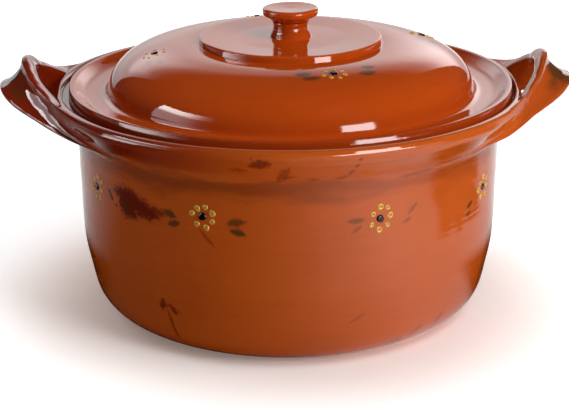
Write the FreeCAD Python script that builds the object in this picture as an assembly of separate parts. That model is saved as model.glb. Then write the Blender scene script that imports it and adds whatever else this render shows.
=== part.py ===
import FreeCAD, Part
import math
import os

os.makedirs("parts", exist_ok=True)

# Covered stewing pot of glazed earthenware, in millimetres. The pot stands on z = 0,
# its axis is Z and its two handles point along +X and -X.

# pot body
BODY_R = 140.0          # outer radius where the wall meets the flared rim
CREASE_Z = 125.0        # height of that crease
WALL = 8.0              # wall thickness
BASE = 9.0              # thickness of the flat base
TAPER = 0.026           # narrowing of the wall per unit of height, downwards
SHOULDER_Z = 50.0       # where the wall starts to round in to the base
SHOULDER_LEAN = 12.0    # lean of the wall below the shoulder, degrees
SHOULDER_R = 250.0      # rounding at the shoulder
HEEL_R = 28.0           # rounding at the foot of the wall
CREASE_R = 9.0          # hollow rounding of the crease

# flared rim with its inner ledge
RIM_Z = 150.0           # top of the lip
FLARE = 16.0            # how far the lip stands out past the body
LIP_DROP = 6.4          # where the flare turns up into the lip's outer band, below its top
LIP_W = 6.5             # width of the lip
LEDGE_DROP = 4.5        # ledge, below the lip
LEDGE_W = 11.0          # width of the ledge

# lid
LID_GAP = 2.2           # clearance between the flange and the lip
FLANGE_H = 7.6          # height of the turned-up flange edge over the ledge
FLANGE_LEAN = 1.4       # the flange edge leans in by this much
GUTTER_R = 126.5        # radius of the gutter at the foot of the dome
GUTTER_H = 1.3          # gutter floor over the ledge
RING_H = 5.2            # ring under the gutter, hanging below the ledge
DOME_R = 121.2          # radius of the dome at its foot
DOME_H = 32.2           # top of the dome over the ledge
DOME_WALL = 6.5         # wall thickness of the dome
DISC_R = 60.0           # raised disc round the knob
DISC_H = 4.6            # step of the disc
DISC_DISH = 1.2         # hollow of the disc
KNOB_R = 18.7           # head of the knob
KNOB_NECK_R = 10.4
KNOB_FOOT_R = 12.9
KNOB_H = 20.0           # knob, over the hollow of the disc

# strap handles
TOP_REACH = 12.0        # upper edge of the strap, past the lip
TOP_RISE = 19.5         # the same edge, over the lip
LOW_REACH = 32.0        # lower edge of the strap, past the lip
LOW_RISE = 0.0          # the same edge, over the lip
TOP_HALF = 31.0         # half the angle that the upper edge spans, degrees
LOW_HALF = 35.0         # the same for the lower edge
STRAP_T = 10.4           # thickness of the strap at its two thick edges
CHANNEL = 2.6           # depth of the thumb channel between those edges

# derived sizes
LIP_R = BODY_R + FLARE
LIP_IN_R = LIP_R - LIP_W
LEDGE_Z = RIM_Z - LEDGE_DROP
LEDGE_IN_R = LIP_IN_R - LEDGE_W
FLANGE_R = LIP_IN_R - LID_GAP
DOME_TOP_Z = LEDGE_Z + DOME_H
DISC_Z = DOME_TOP_Z + DISC_H
KNOB_TOP_Z = DISC_Z - DISC_DISH + KNOB_H


def rounded(corners):
    """Wire in the XZ plane through (x, z, radius) corners, each corner rounded."""
    pts = [FreeCAD.Vector(x, 0, z) for x, z, _ in corners]
    edges = []
    last = pts[0]
    for i in range(1, len(pts)):
        corner = pts[i]
        radius = corners[i][2]
        if i == len(pts) - 1 or radius <= 0:
            edges.append(Part.makeLine(last, corner))
            last = corner
            continue
        back = (pts[i - 1] - corner).normalize()
        ahead = (pts[i + 1] - corner).normalize()
        half = back.getAngle(ahead) / 2
        reach = radius / math.tan(half)
        start = corner + back * reach
        end = corner + ahead * reach
        middle = (back + ahead).normalize() * (radius / math.sin(half) - radius) + corner
        if (start - last).Length > 1e-4:
            edges.append(Part.makeLine(last, start))
        edges.append(Part.Arc(start, middle, end).toShape())
        last = end
    return edges


def curve(poles):
    """Smooth edge in the XZ plane led by (x, z) poles."""
    bezier = Part.BezierCurve()
    bezier.setPoles([FreeCAD.Vector(x, 0, z) for x, z in poles])
    return bezier.toShape()


def turned(edges, bottom_z, top_z):
    """Solid of revolution about Z from edges that leave the axis and come back to it."""
    axis = Part.makeLine(FreeCAD.Vector(0, 0, bottom_z), FreeCAD.Vector(0, 0, top_z))
    outline = Part.Wire(Part.sortEdges(edges + [axis])[0])
    return Part.Face(outline).revolve(FreeCAD.Vector(0, 0, 0), FreeCAD.Vector(0, 0, 1), 360)


def wall_r(z):
    """Outer radius of the wall between shoulder and crease."""
    return BODY_R - TAPER * (CREASE_Z - z)


def bowl():
    """The thrown body with its flared rim and inner ledge."""
    lean = math.tan(math.radians(SHOULDER_LEAN))
    heel_x = wall_r(SHOULDER_Z) - lean * SHOULDER_Z
    inner_shoulder = wall_r(SHOULDER_Z) - WALL
    inner_heel = inner_shoulder - lean * (SHOULDER_Z - BASE)
    lip_foot_z = RIM_Z - LIP_DROP
    profile = [
        (0, 0, 0),
        (heel_x, 0, HEEL_R),
        (wall_r(SHOULDER_Z), SHOULDER_Z, SHOULDER_R),
        (BODY_R, CREASE_Z, CREASE_R),
        (LIP_R + 0.7, lip_foot_z, 7.0),
        (LIP_R - 0.4, RIM_Z, 2.4),
        (LIP_IN_R, RIM_Z - 0.4, 1.8),
        (LIP_IN_R - 0.3, LEDGE_Z, 1.2),
        (LEDGE_IN_R, LEDGE_Z, 2.4),
        (LEDGE_IN_R - 6.0, CREASE_Z + 2.0, 16.0),
        (inner_shoulder, SHOULDER_Z, SHOULDER_R - WALL),
        (inner_heel, BASE, HEEL_R - WALL),
        (0, BASE, 0),
    ]
    return turned(rounded(profile), 0, BASE)


def strap_edge(station, apex, root):
    """Point of a strap edge: shares of the way out, round and up between root and apex."""
    out, around, up = station
    radius = root[0] + (apex[0] - root[0]) * out
    angle = math.radians(root[1] * around)
    height = root[2] + (apex[2] - root[2]) * up
    return FreeCAD.Vector(radius * math.cos(angle), radius * math.sin(angle), height)


def strap_section(top, low, along, share):
    """Closed outline across the strap, thick at both edges and hollow between them.

    The share is 0 at a buried end of the strap and 1 at its middle.
    """
    middle = (top + low) * 0.5
    across = low - top
    half = across.Length / 2
    across = across.normalize()
    outward = across.cross(along).normalize()
    full = STRAP_T / 2 * (0.7 + 0.3 * share ** 0.5)
    channel = CHANNEL * share ** 0.5
    outline = [
        (-1.0, 0.0),
        (-0.84, full),
        (-0.45, full - 0.62 * channel),
        (0.0, full - channel),
        (0.45, full - 0.62 * channel),
        (0.84, full),
        (1.0, 0.0),
        (0.8, -0.86 * full),
        (0.0, -full),
        (-0.8, -0.86 * full),
    ]
    return [middle + across * (half * s) + outward * n for s, n in outline]


def skin(rows):
    """Solid whose side runs through rows of points, each row closed and flat."""
    count = len(rows)
    width = len(rows[0])
    poles = [list(row) for row in rows]
    for _ in range(30):
        for row, target in zip(poles, rows):
            for k in range(width):
                row[k] = (target[k] * 6 - row[k - 1] - row[(k + 1) % width]) * 0.25
    targets = [list(row) for row in poles]
    for _ in range(30):
        for i in range(1, count - 1):
            for k in range(width):
                poles[i][k] = (targets[i][k] * 6 - poles[i - 1][k] - poles[i + 1][k]) * 0.25
    side = Part.BSplineSurface()
    side.buildFromPolesMultsKnots(
        poles, [4] + [1] * (count - 4) + [4], [1] * (width + 1),
        list(range(count - 2)), list(range(width + 1)), False, True, 3, 3)
    caps = [Part.Face(Part.Wire([side.uIso(u).toShape()])) for u in (0, count - 3)]
    shell = Part.makeShell([side.toShape()] + caps)
    shell.sewShape()
    solid = Part.Solid(Part.Shell(shell.Faces))
    if solid.Volume < 0:
        solid.reverse()
    return solid


def strap():
    """One channelled strap handle at +X, its ends buried in the flared rim."""
    top_apex = (LIP_R + TOP_REACH, 0, RIM_Z + TOP_RISE)
    top_root = (LIP_R - 9.5, TOP_HALF, RIM_Z - 10.0)
    low_apex = (LIP_R + LOW_REACH, 0, RIM_Z + LOW_RISE)
    low_root = (BODY_R - 4.5, LOW_HALF, CREASE_Z + 6.5)
    top_way = [(1, 0, 1), (0.9, 0.14, 0.88), (0.68, 0.24, 0.68), (0.45, 0.34, 0.5),
               (0.3, 0.47, 0.32), (0.175, 0.68, 0.18), (0, 1, 0)]
    low_way = [(1, 0, 1), (0.9, 0.19, 0.85), (0.71, 0.32, 0.5), (0.5, 0.45, 0.2),
               (0.3, 0.61, -0.14), (0.1, 0.8, -0.15), (0, 1, 0)]
    tops = [strap_edge(s, top_apex, top_root) for s in top_way]
    lows = [strap_edge(s, low_apex, low_root) for s in low_way]

    def mirrored(points):
        far = [FreeCAD.Vector(p.x, -p.y, p.z) for p in points[:0:-1]]
        return far + points

    tops = mirrored(tops)
    lows = mirrored(lows)
    last = len(tops) - 1
    sections = []
    for i in range(last + 1):
        before = (tops[max(i - 1, 0)] + lows[max(i - 1, 0)]) * 0.5
        after = (tops[min(i + 1, last)] + lows[min(i + 1, last)]) * 0.5
        share = 1 - abs(2 * i / last - 1)
        sections.append(strap_section(tops[i], lows[i], after - before, share))
    return skin(sections)


def make_pot():
    """Body and both handles, luted on and fired as one piece."""
    right = strap()
    left = right.rotated(FreeCAD.Vector(0, 0, 0), FreeCAD.Vector(0, 0, 1), 180)
    return bowl().fuse([right, left]).removeSplitter().Solids[0]


def make_lid():
    """Lid: flange with turned-up edge, gutter, dome, raised disc and knob, hollow below.

    A ring under the gutter hangs inside the ledge and keeps the lid centred.
    """
    dome_foot_z = LEDGE_Z + GUTTER_H + 1.0
    ring_r = LEDGE_IN_R - LID_GAP
    rise = DOME_TOP_Z - dome_foot_z
    inner_foot_r = DOME_R - DOME_WALL
    inner_top_z = DOME_TOP_Z - DOME_WALL + 1.0
    inner_foot_z = LEDGE_Z + 3.0
    below = rounded([
        (FLANGE_R - 4.0, LEDGE_Z, 0),
        (ring_r, LEDGE_Z, 1.0),
        (ring_r - 1.6, LEDGE_Z - RING_H, 2.0),
        (inner_foot_r + 2.0, LEDGE_Z - RING_H, 3.0),
        (inner_foot_r, inner_foot_z, 0),
    ])
    inside = curve([
        (inner_foot_r, inner_foot_z),
        (inner_foot_r - 3.0, inner_foot_z + 0.86 * (inner_top_z - inner_foot_z)),
        (0.66 * inner_foot_r, inner_top_z),
        (0.42 * inner_foot_r, inner_top_z),
    ])
    ceiling = Part.makeLine(
        FreeCAD.Vector(0.42 * inner_foot_r, 0, inner_top_z), FreeCAD.Vector(0, 0, inner_top_z))
    edge = rounded([
        (FLANGE_R - 4.0, LEDGE_Z, 0),
        (FLANGE_R - 0.2, LEDGE_Z, 1.6),
        (FLANGE_R - FLANGE_LEAN, LEDGE_Z + FLANGE_H, 1.5),
        (FLANGE_R - 5.0, LEDGE_Z + FLANGE_H - 0.3, 2.0),
        (GUTTER_R + 9.5, LEDGE_Z + GUTTER_H + 0.8, 8.0),
        (GUTTER_R, LEDGE_Z + GUTTER_H, 0),
    ])
    fillet = curve([
        (GUTTER_R, LEDGE_Z + GUTTER_H),
        (DOME_R + 1.3, LEDGE_Z + GUTTER_H - 0.3),
        (DOME_R, dome_foot_z + 1.0),
    ])
    dome = curve([
        (DOME_R, dome_foot_z + 1.0),
        (DOME_R - 3.7, dome_foot_z + 0.94 * rise),
        (1.32 * DISC_R, DOME_TOP_Z + 1.4),
        (DISC_R + 1.6, DOME_TOP_Z),
    ])
    floor = DISC_Z - DISC_DISH
    knob = rounded([
        (DISC_R + 1.6, DOME_TOP_Z, 0),
        (DISC_R + 0.5, DOME_TOP_Z - 0.1, 0.4),
        (DISC_R, DISC_Z, 1.2),
        (0.6 * DISC_R, floor, 40.0),
        (KNOB_FOOT_R + 0.8, floor, 1.0),
        (KNOB_FOOT_R, floor + 2.6, 1.4),
        (KNOB_NECK_R - 0.4, floor + 7.0, 8.0),
        (KNOB_NECK_R + 2.6, KNOB_TOP_Z - 7.4, 6.0),
        (KNOB_R - 0.6, KNOB_TOP_Z - 4.9, 1.6),
        (KNOB_R, KNOB_TOP_Z, 1.8),
        (0.6 * KNOB_R, KNOB_TOP_Z - 0.7, 20.0),
        (0, KNOB_TOP_Z - 1.3, 0),
    ])
    outline = [ceiling, inside] + below + edge + [fillet, dome] + knob
    return turned(outline, inner_top_z, KNOB_TOP_Z - 1.3)


make_pot().exportStep("parts/pot.step")
make_lid().exportStep("parts/lid.step")
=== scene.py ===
import math

import bmesh
import bpy
import numpy as np
from mathutils import Matrix, Vector
from mathutils.bvhtree import BVHTree


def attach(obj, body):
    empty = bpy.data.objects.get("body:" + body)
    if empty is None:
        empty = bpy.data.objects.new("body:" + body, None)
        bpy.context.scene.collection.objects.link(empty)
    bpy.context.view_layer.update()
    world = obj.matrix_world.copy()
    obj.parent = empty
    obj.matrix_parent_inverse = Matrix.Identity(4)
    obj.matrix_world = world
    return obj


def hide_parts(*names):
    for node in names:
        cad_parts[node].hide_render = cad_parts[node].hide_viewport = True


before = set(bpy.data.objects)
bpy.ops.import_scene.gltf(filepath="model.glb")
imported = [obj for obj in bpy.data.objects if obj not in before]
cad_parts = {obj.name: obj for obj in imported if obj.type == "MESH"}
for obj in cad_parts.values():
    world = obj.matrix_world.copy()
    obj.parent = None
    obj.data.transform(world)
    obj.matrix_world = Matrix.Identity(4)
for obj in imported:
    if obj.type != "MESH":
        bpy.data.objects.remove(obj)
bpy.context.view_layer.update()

bl_info = {
    "name": "Covered stewing pot",
    "version": (1, 0, 0),
    "blender": (4, 5, 0),
    "location": "View3D > Sidebar > Stewing pot",
    "description": "Hand-thrown, clear-glazed stewing pot with strap handles, a domed lid and slip-dotted flowers",
    "category": "Object",
}

MM = 0.001
BODY = "root"
TURN = math.radians(-1.55)          # the pot stands turned by this much towards the camera

# ---------------------------------------------------------------- measures, in millimetres

# Pot profile, r and z, from the middle of the base outwards, up the wall, over the lip, down the inside.
FOOT_ROWS = [(30, 0), (62, 0), (88, 0), (104.7, 0), (114.3, 1.7), (122.7, 6.55), (128.9, 14), (132.1, 22.2)]
WALL_ROWS = [(134.4, 33), (136.5, 43.5), (137.9, 54), (138.5, 68), (138.9, 82), (139.3, 96), (139.6, 108),
             (139.8, 116)]
FLARE_ROWS = [(139.95, 121.6), (140.7, 125.3), (142.6, 128), (147, 133), (151.6, 138.2), (155.1, 142.3),
              (156.3, 145.2), (156, 147.9)]
LIP_ROWS = [(154.9, 149.5), (152.6, 149.95), (150.7, 149.5), (149.5, 148.1), (149.25, 146.5), (148.3, 145.6),
            (144.5, 145.5), (141.2, 145.5), (139, 144.9), (137.8, 143.2)]
INSIDE_ROWS = [(135.6, 136.3), (133.7, 130.4), (132.6, 125.6), (132.2, 119), (131.7, 106), (131.2, 90),
               (130.7, 74), (130.2, 60), (129, 46), (127, 35), (124.7, 24.8), (121.5, 17.5), (115.1, 11.7),
               (105.1, 9), (88, 9), (60, 9), (30, 9)]
BASE_Z = (0, 9)
COLUMNS = 64
HALF, QUARTER = COLUMNS // 2, COLUMNS // 4

# Steps of the columns in a quarter turn, from the middle of a handle, in degrees: at the lip and at the crease.
LIP_STEPS = [0, 3.7, 7.4, 11, 14.5, 18.2, 22, 26, 31, 37, 43.5, 50, 57, 65, 73, 81.5, 90]
CREASE_STEPS = [0, 6.5, 13, 19, 23, 27, 31, 35, 39, 43.5, 48.5, 54, 60, 67, 74.5, 82, 90]
EVEN_TO = 43.5                      # up to this step the columns keep their turn from the handle
LEG_COLUMNS = (3, 7)                # columns between which a handle's leg leaves the flare
LEG_ROWS = 7                        # rows from the lower to the upper end of a leg
# Press of the lip between a handle's legs, row by row from five rows below the leg's upper end, and to each side.
DENT_ROWS = (0.15, 0.4, 0.8, 1, 1, 1, 0.7, 0.2)
DENT_COLUMNS = (1, 0.93, 0.64, 0.36)
LOOP = 22                           # points round a handle's strap
LEG_FACE = 8                        # those of them on its outer face

# Strap handle, from its middle to a leg: radius, degrees round, height of the upper and of the lower edge.
STRAP_TOPS = [(168, 0, 169.5), (166.6, 4.5, 167), (165, 8.4, 162.4), (160.6, 12.2, 157), (155.8, 16.2, 151.2)]
STRAP_LOWS = [(187.2, 0, 149.4), (182.4, 7.2, 145.8), (169.2, 12.4, 138.4), (159.6, 17.8, 133.6),
              (151, 24.4, 129.6)]
FAR_LOWER = (0, 1.5, 4, 3, 0)       # how much lower the lower edge runs in the half away from the camera

# Lid outlines as (r, z, rounding) corners and as curve poles.
LID_BELOW = [(143.3, 145.5, 0), (136.3, 145.5, 1), (134.7, 140.3, 2), (116.7, 140.3, 3), (114.7, 148.5, 0)]
LID_INSIDE = [(114.7, 148.5), (111.7, 168.9), (75.7, 172.2), (48.2, 172.2)]
LID_EDGE = [(143.3, 145.5, 0), (147.1, 145.5, 1.6), (146, 153.2, 0.9), (142.6, 152.9, 2), (136, 147.6, 8),
            (126.5, 146.8, 0)]
LID_FILLET = [(126.5, 146.8), (122.5, 146.5), (121.2, 148.8)]
LID_DOME = [(121.2, 148.8), (117.5, 175.9), (79.2, 179.1), (61.6, 177.7)]
LID_KNOB = [(61.6, 177.7, 0), (60.5, 177.6, 0.4), (60, 182.3, 1.2), (36, 181.1, 40), (13.7, 181.1, 1),
            (12.9, 183.7, 1.4), (10, 188.1, 8), (13, 193.7, 6), (18.1, 196.2, 1.6), (18.7, 201.1, 1.8),
            (11.2, 200.4, 20), (0, 199.8, 0)]
LID_CEILING_Z = 172.2
LID_COLUMNS = 176

# Flowers round the wall: degrees from the camera's side, height. The four at the back repeat the spacing.
BODY_FLOWERS = [(-60.9, 100.3), (-22, 101.3), (23.2, 98.9), (62.7, 97.6), (107, 99.4), (151.5, 100.6),
                (-164, 98.6), (-112, 100.2)]
# Flowers round the lid: degrees, radius.
LID_FLOWERS = [(-76.4, 89), (19, 85), (107.9, 95), (-166, 90)]
# Two hands of laying the seven dots round the black one: degrees, distance.
PETALS_A = [(71.6, 6.6), (22, 7.1), (-23, 6.8), (-71, 7.3), (-127, 6.4), (168, 7), (124.5, 5.8)]
PETALS_B = [(128, 5.9), (73, 7.6), (36.3, 8.2), (-6.2, 6.8), (-59.4, 6.8), (-112.4, 7.1), (-166.4, 6.6)]
PETAL_R = 2.0
CENTRE_R = 2.4

# Leaves and brush marks on the wall: degrees, height, half length, half width, tilt in degrees, strength.
BODY_LEAVES = [
    (-31.4, 99.6, 6.4, 3.2, -18, 0.85), (-30.2, 93.8, 5.4, 2.8, 12, 0.85),
    (-13.2, 99.4, 7.4, 3.2, 10, 0.8), (-12.8, 93.0, 6.2, 3.0, -12, 0.9),
    (16.6, 99.3, 6.4, 2.4, 2, 0.6), (16.9, 93.6, 4.6, 1.8, 34, 0.5),
    (32.6, 101.7, 6.0, 1.8, 46, 0.45), (31.1, 94.9, 4.4, 1.5, 24, 0.45),
    (-53.4, 100.7, 4.6, 1.7, -38, 0.9), (-46.9, 96.0, 5.2, 2.0, -48, 0.75),
    (55.2, 91.0, 4.4, 1.8, 30, 0.9), (54.6, 85.2, 4.0, 1.6, 10, 0.8),
    (97.8, 99.5, 6.2, 2.4, -16, 0.8), (98.6, 93.4, 5.0, 1.9, 12, 0.7),
    (116.4, 100.4, 6.4, 2.3, 20, 0.7), (115.2, 94.4, 5.2, 2.0, -20, 0.8),
    (142.2, 100.6, 6.4, 2.3, -20, 0.8), (143, 94.6, 5.0, 2.0, 8, 0.7),
    (160.8, 101.6, 6.6, 2.4, 18, 0.7), (160, 95.4, 5.2, 1.9, -24, 0.8),
    (-173.4, 98.8, 6.2, 2.4, -18, 0.8), (-172.2, 92.8, 5.0, 1.9, 10, 0.7),
    (-154.6, 99.6, 6.6, 2.4, 16, 0.7), (-155.6, 93.4, 5.2, 2.0, -22, 0.8),
    (-121.4, 100.4, 6.2, 2.4, -18, 0.8), (-120.2, 94.4, 5.0, 1.9, 10, 0.7),
    (-102.8, 101.0, 6.6, 2.4, 16, 0.7), (-103.6, 95.0, 5.2, 2.0, -22, 0.8),
]
# Leaves on the lid: degrees, radius, half length, half width, tilt, strength.
LID_LEAVES = [
    (8.8, 89.4, 6.6, 3.8, -4, 0.75), (6.2, 83.0, 6.4, 4.2, -10, 0.95),
    (32.8, 90.2, 7.2, 3.8, 4, 0.85), (36.6, 82.8, 5.6, 4.0, 10, 0.95),
    (-88.4, 90, 5.4, 2.4, 8, 0.25), (-86.6, 83, 4.6, 2.2, -12, 0.2),
    (-67.5, 97.5, 6.0, 3.4, -6, 0.55), (-63.0, 91.5, 5.4, 3.2, 14, 0.6),
    (96.2, 97, 6.4, 3.4, 6, 0.8), (97.6, 89, 5.6, 3.2, -10, 0.9),
    (119.6, 95, 6.6, 3.4, -8, 0.8), (118.2, 88, 5.6, 3.2, 12, 0.9),
    (-178, 91, 6.4, 3.4, 6, 0.8), (-176.6, 84, 5.6, 3.2, -10, 0.9),
    (-154, 90, 6.6, 3.4, -8, 0.8), (-155.4, 83, 5.6, 3.2, 12, 0.9),
]
# Dark iron dabs of the thrower's fingers on the flare, the crease and near the foot.
FINGER_DABS = [
    (-6.7, 144.5, 1.3, 1.0, 0, 0.5), (-8.2, 145.6, 1.0, 0.8, 0, 0.45), (-5.3, 142.5, 1.5, 0.8, 20, 0.4),
    (15.6, 143, 1.8, 1.3, 60, 0.5), (15.3, 138, 2.4, 1.5, 80, 0.5), (14.5, 133, 3.2, 1.7, 60, 0.45),
    (12.4, 128.6, 4.5, 1.0, 4, 0.45), (0.1, 130.8, 5.0, 1.6, 8, 0.35), (5.7, 128.6, 5.5, 1.5, -6, 0.4),
    (13.1, 129.7, 4.5, 1.3, 4, 0.3), (-34.7, 36, 3.4, 1.8, 20, 0.4), (-30.9, 33.8, 2.6, 1.4, -30, 0.35),
    (31.6, 7.9, 7.0, 4.0, 30, 0.35), (38.2, 14.2, 6.5, 2.6, 45, 0.3), (46.7, 18.1, 6.0, 3.0, 50, 0.3),
]
# Dark red scrapes and runs, where the glaze has pulled off or run thick. The first four, high on the left of the
# wall, are a painted reflection of the left handle.
RED_SCRAPES_AND_HANDLE_REFLECTION = [
    (-45.5, 103.0, 17, 8.0, -8, 1.0), (-40.5, 98.5, 17, 8.0, -14, 1.0), (-46.0, 96.5, 12, 8.5, -30, 1.0),
    (-36.0, 99.0, 9, 4.0, -10, 0.8), (-35.8, 36.5, 5.5, 2.6, 70, 0.8), (-32.6, 34.5, 5.0, 2.2, -60, 0.8),
    (-33.6, 22.5, 14, 1.3, -78, 0.75), (-21.0, 87.5, 10, 1.2, -48, 0.55), (-6.4, 141, 8, 4.6, 10, 0.75),
    (-1.2, 133.0, 8, 4.0, 60, 0.55), (-11.5, 136.0, 7, 2.4, 0, 0.4), (33.0, 124, 14, 1.6, 4, 0.35),
    (18.0, 34.0, 8, 1.6, 30, 0.3),
]
# Black burnt spots beside the scrape.
BURNT_SPOTS = [(-52.8, 98.2, 2.4, 1.5, -50, 0.9), (-51.0, 94.6, 2.0, 1.2, -30, 0.8),
               (-53.6, 103, 1.8, 1.0, 20, 0.7)]
# Broad olive brush patches on the handles: degrees, radius of the patch's middle, height, half length, half width.
HANDLE_PATCHES = [(-85, 178, 159, 14, 14), (-79, 172, 149, 11, 11), (85, 176, 158, 13, 13),
                  (81, 170, 150, 9, 9)]


# ---------------------------------------------------------------- studio

# Lengths in metres where nothing else is said, directions in degrees to the right of the camera's side.
# Lamps: name, degrees, rise, distance, size, level on a surface that faces the lamp.
LAMPS = [("main_lamp", 47, 17, 2.4, 1.3, 0.79), ("high_lamp", 50, 54, 2.6, 1.4, 0.40),
         ("left_lamp", -112, 42, 2.4, 1.4, 0.12)]
# Glowing sheets: name, first and last direction, lower and upper edge, distance.
BACKDROP_TOP = 2.6
BACKDROP = ("backdrop", 152, 218, 0.0, BACKDROP_TOP, 3.0)
LEFT_BOX = ("left_softbox", -92, -50, 0.02, 1.66, 2.7)
RIGHT_BOX = ("right_softbox", 18, 58, 0.0, 0.50, 1.2)
SURROUNDINGS = 0.05                 # level of everything else that the glaze mirrors
# Level of the floor where the glaze mirrors it: degrees, level.
FLOOR_LEVELS = [(-180, 0.9), (-150, 0.75), (-121, 0.5), (-103, 0.3), (-84, 0.03), (-20, 0.0), (-4, 0.08),
                (7, 0.25), (19, 0.52), (32, 0.8), (46, 1.0), (60, 0.82), (74, 0.64), (96, 0.6), (118, 0.65),
                (140, 1.0), (180, 1.0)]
FLOOR_LEVELS_TOP = 1.5              # the colour ramp holds the levels divided by this
LIT_FLOOR = (-80, 13, 700, 7.0)     # the floor under the left box, bright in its painted reflection: middle, half width, radius in mm, level
DARK_FLOOR = (88, 18, 306)          # a darker stretch of the floor's painted reflection to the right: middle, half width, radius in mm
FLOOR_BOUNCE = 0.8                  # share of that level that also lights the clay
FLOOR_DROP = 0.02                   # millimetres that the floor lies below the foot
FLOOR_HALF = 9000                   # half its side in millimetres
# Camera: rise over the aim, lean, distance, aim, lens and sensor in millimetres.
CAMERA_RISE, CAMERA_LEAN, CAMERA_DISTANCE = 19.06, -0.31, 1.150
CAMERA_AIM = (-0.00285, 0, 0.06206)
LENS, SENSOR = 106.8, 36

# Colours that no user would change.
# painted shade laid in the crease under the flare
CREASE_SHADE_BROWN = (0.16, 0.028, 0.008)
DAB_BLACK = (0.05, 0.01, 0.004)
SPECK = (0.07, 0.012, 0.004)
GLAZE_IOR = 1.5


def from_camera(degrees):
    """Radians about Z for a place given in degrees to the right of the camera's side."""
    return math.radians(degrees - 90) + TURN


# ---------------------------------------------------------------- sizes and colours a user may change

class PotSizes(bpy.types.PropertyGroup):
    """Hand-made unevenness of the pot."""
    lip_dent: bpy.props.FloatProperty(
        name="Lip dent", description="How far the lip is pressed in between the legs of a handle",
        default=2.8 * MM, min=0, max=5 * MM, unit="LENGTH", precision=4)
    waver: bpy.props.FloatProperty(
        name="Waver", description="How far the thrown wall and lip waver from true",
        default=0.4 * MM, min=0, max=1 * MM, unit="LENGTH", precision=4)
    right_handle: bpy.props.FloatProperty(
        name="Right handle", description="Where the right handle's middle was set, about the pot's axis",
        default=math.radians(-3.05), subtype="ANGLE", unit="ROTATION")
    left_handle: bpy.props.FloatProperty(
        name="Left handle", description="Where the left handle's middle was set, about the pot's axis",
        default=math.radians(183.05), subtype="ANGLE", unit="ROTATION")
    strap_thickness: bpy.props.FloatProperty(
        name="Strap thickness", description="Thickness of a handle's strap at its two thick edges",
        default=10.4 * MM, min=8 * MM, max=12 * MM, unit="LENGTH", precision=4)
    channel: bpy.props.FloatProperty(
        name="Thumb channel", description="Depth of the thumb channel along a handle's strap",
        default=2.8 * MM, min=0, max=4 * MM, unit="LENGTH", precision=4)


class LidSizes(bpy.types.PropertyGroup):
    """How the lid sits and wavers."""
    aside: bpy.props.FloatProperty(
        name="Aside", description="How far to the right of the pot's axis the lid was put down",
        default=1.7 * MM, min=0, max=2 * MM, unit="LENGTH", precision=4)
    waver: bpy.props.FloatProperty(
        name="Waver", description="How far the thrown lid wavers from true",
        default=0.25 * MM, min=0, max=1 * MM, unit="LENGTH", precision=4)


class SlipSizes(bpy.types.PropertyGroup):
    """Raised dots of slip."""
    petal_rise: bpy.props.FloatProperty(
        name="Petal rise", description="How far a yellow dot stands out of the glaze",
        default=0.55 * MM, min=0.1 * MM, max=1.5 * MM, unit="LENGTH", precision=5)
    centre_rise: bpy.props.FloatProperty(
        name="Centre rise", description="How far a black dot stands out of the glaze",
        default=0.9 * MM, min=0.1 * MM, max=2 * MM, unit="LENGTH", precision=5)


class PotColours(bpy.types.PropertyGroup):
    """Colours of the clay, the slips and the brush."""
    clay: bpy.props.FloatVectorProperty(
        name="Clay", description="Red clay under the clear glaze",
        default=(0.535, 0.094, 0.010), size=3, min=0, max=1, subtype="COLOR")
    # On the pot the rim clay darkens the flare and the left handle towards the left side, away from the lamps: there
    # it is painted shade.
    rim_clay: bpy.props.FloatVectorProperty(
        name="Rim clay", description="Dark red of the flare and the handles, where the glaze has run thick",
        default=(0.24, 0.018, 0.002), size=3, min=0, max=1, subtype="COLOR")
    lid_clay: bpy.props.FloatVectorProperty(
        name="Lid clay", description="The lid's slightly redder clay under the clear glaze",
        default=(0.55, 0.070, 0.004), size=3, min=0, max=1, subtype="COLOR")
    clay_deep: bpy.props.FloatVectorProperty(
        name="Deep clay", description="Where the glaze lies thick over the red clay",
        default=(0.40, 0.058, 0.005), size=3, min=0, max=1, subtype="COLOR")
    olive: bpy.props.FloatVectorProperty(
        name="Olive brush", description="Thin olive-brown colour of the leaves and the handles",
        default=(0.075, 0.034, 0.007), size=3, min=0, max=1, subtype="COLOR")
    petal: bpy.props.FloatVectorProperty(
        name="Yellow slip", description="Yellow slip dots",
        default=(0.78, 0.44, 0.055), size=3, min=0, max=1, subtype="COLOR")
    petal_thin: bpy.props.FloatVectorProperty(
        name="Thin yellow slip", description="The sunk middle of a yellow dot, where the clay shows through",
        default=(0.62, 0.27, 0.02), size=3, min=0, max=1, subtype="COLOR")
    centre: bpy.props.FloatVectorProperty(
        name="Black slip", description="Black slip dots",
        default=(0.006, 0.002, 0.003), size=3, min=0, max=1, subtype="COLOR")
    floor: bpy.props.FloatVectorProperty(
        name="Floor", description="Plain pale floor",
        default=(0.9, 0.9, 0.9), size=3, min=0, max=1, subtype="COLOR")


# ---------------------------------------------------------------- shader workbench

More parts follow.
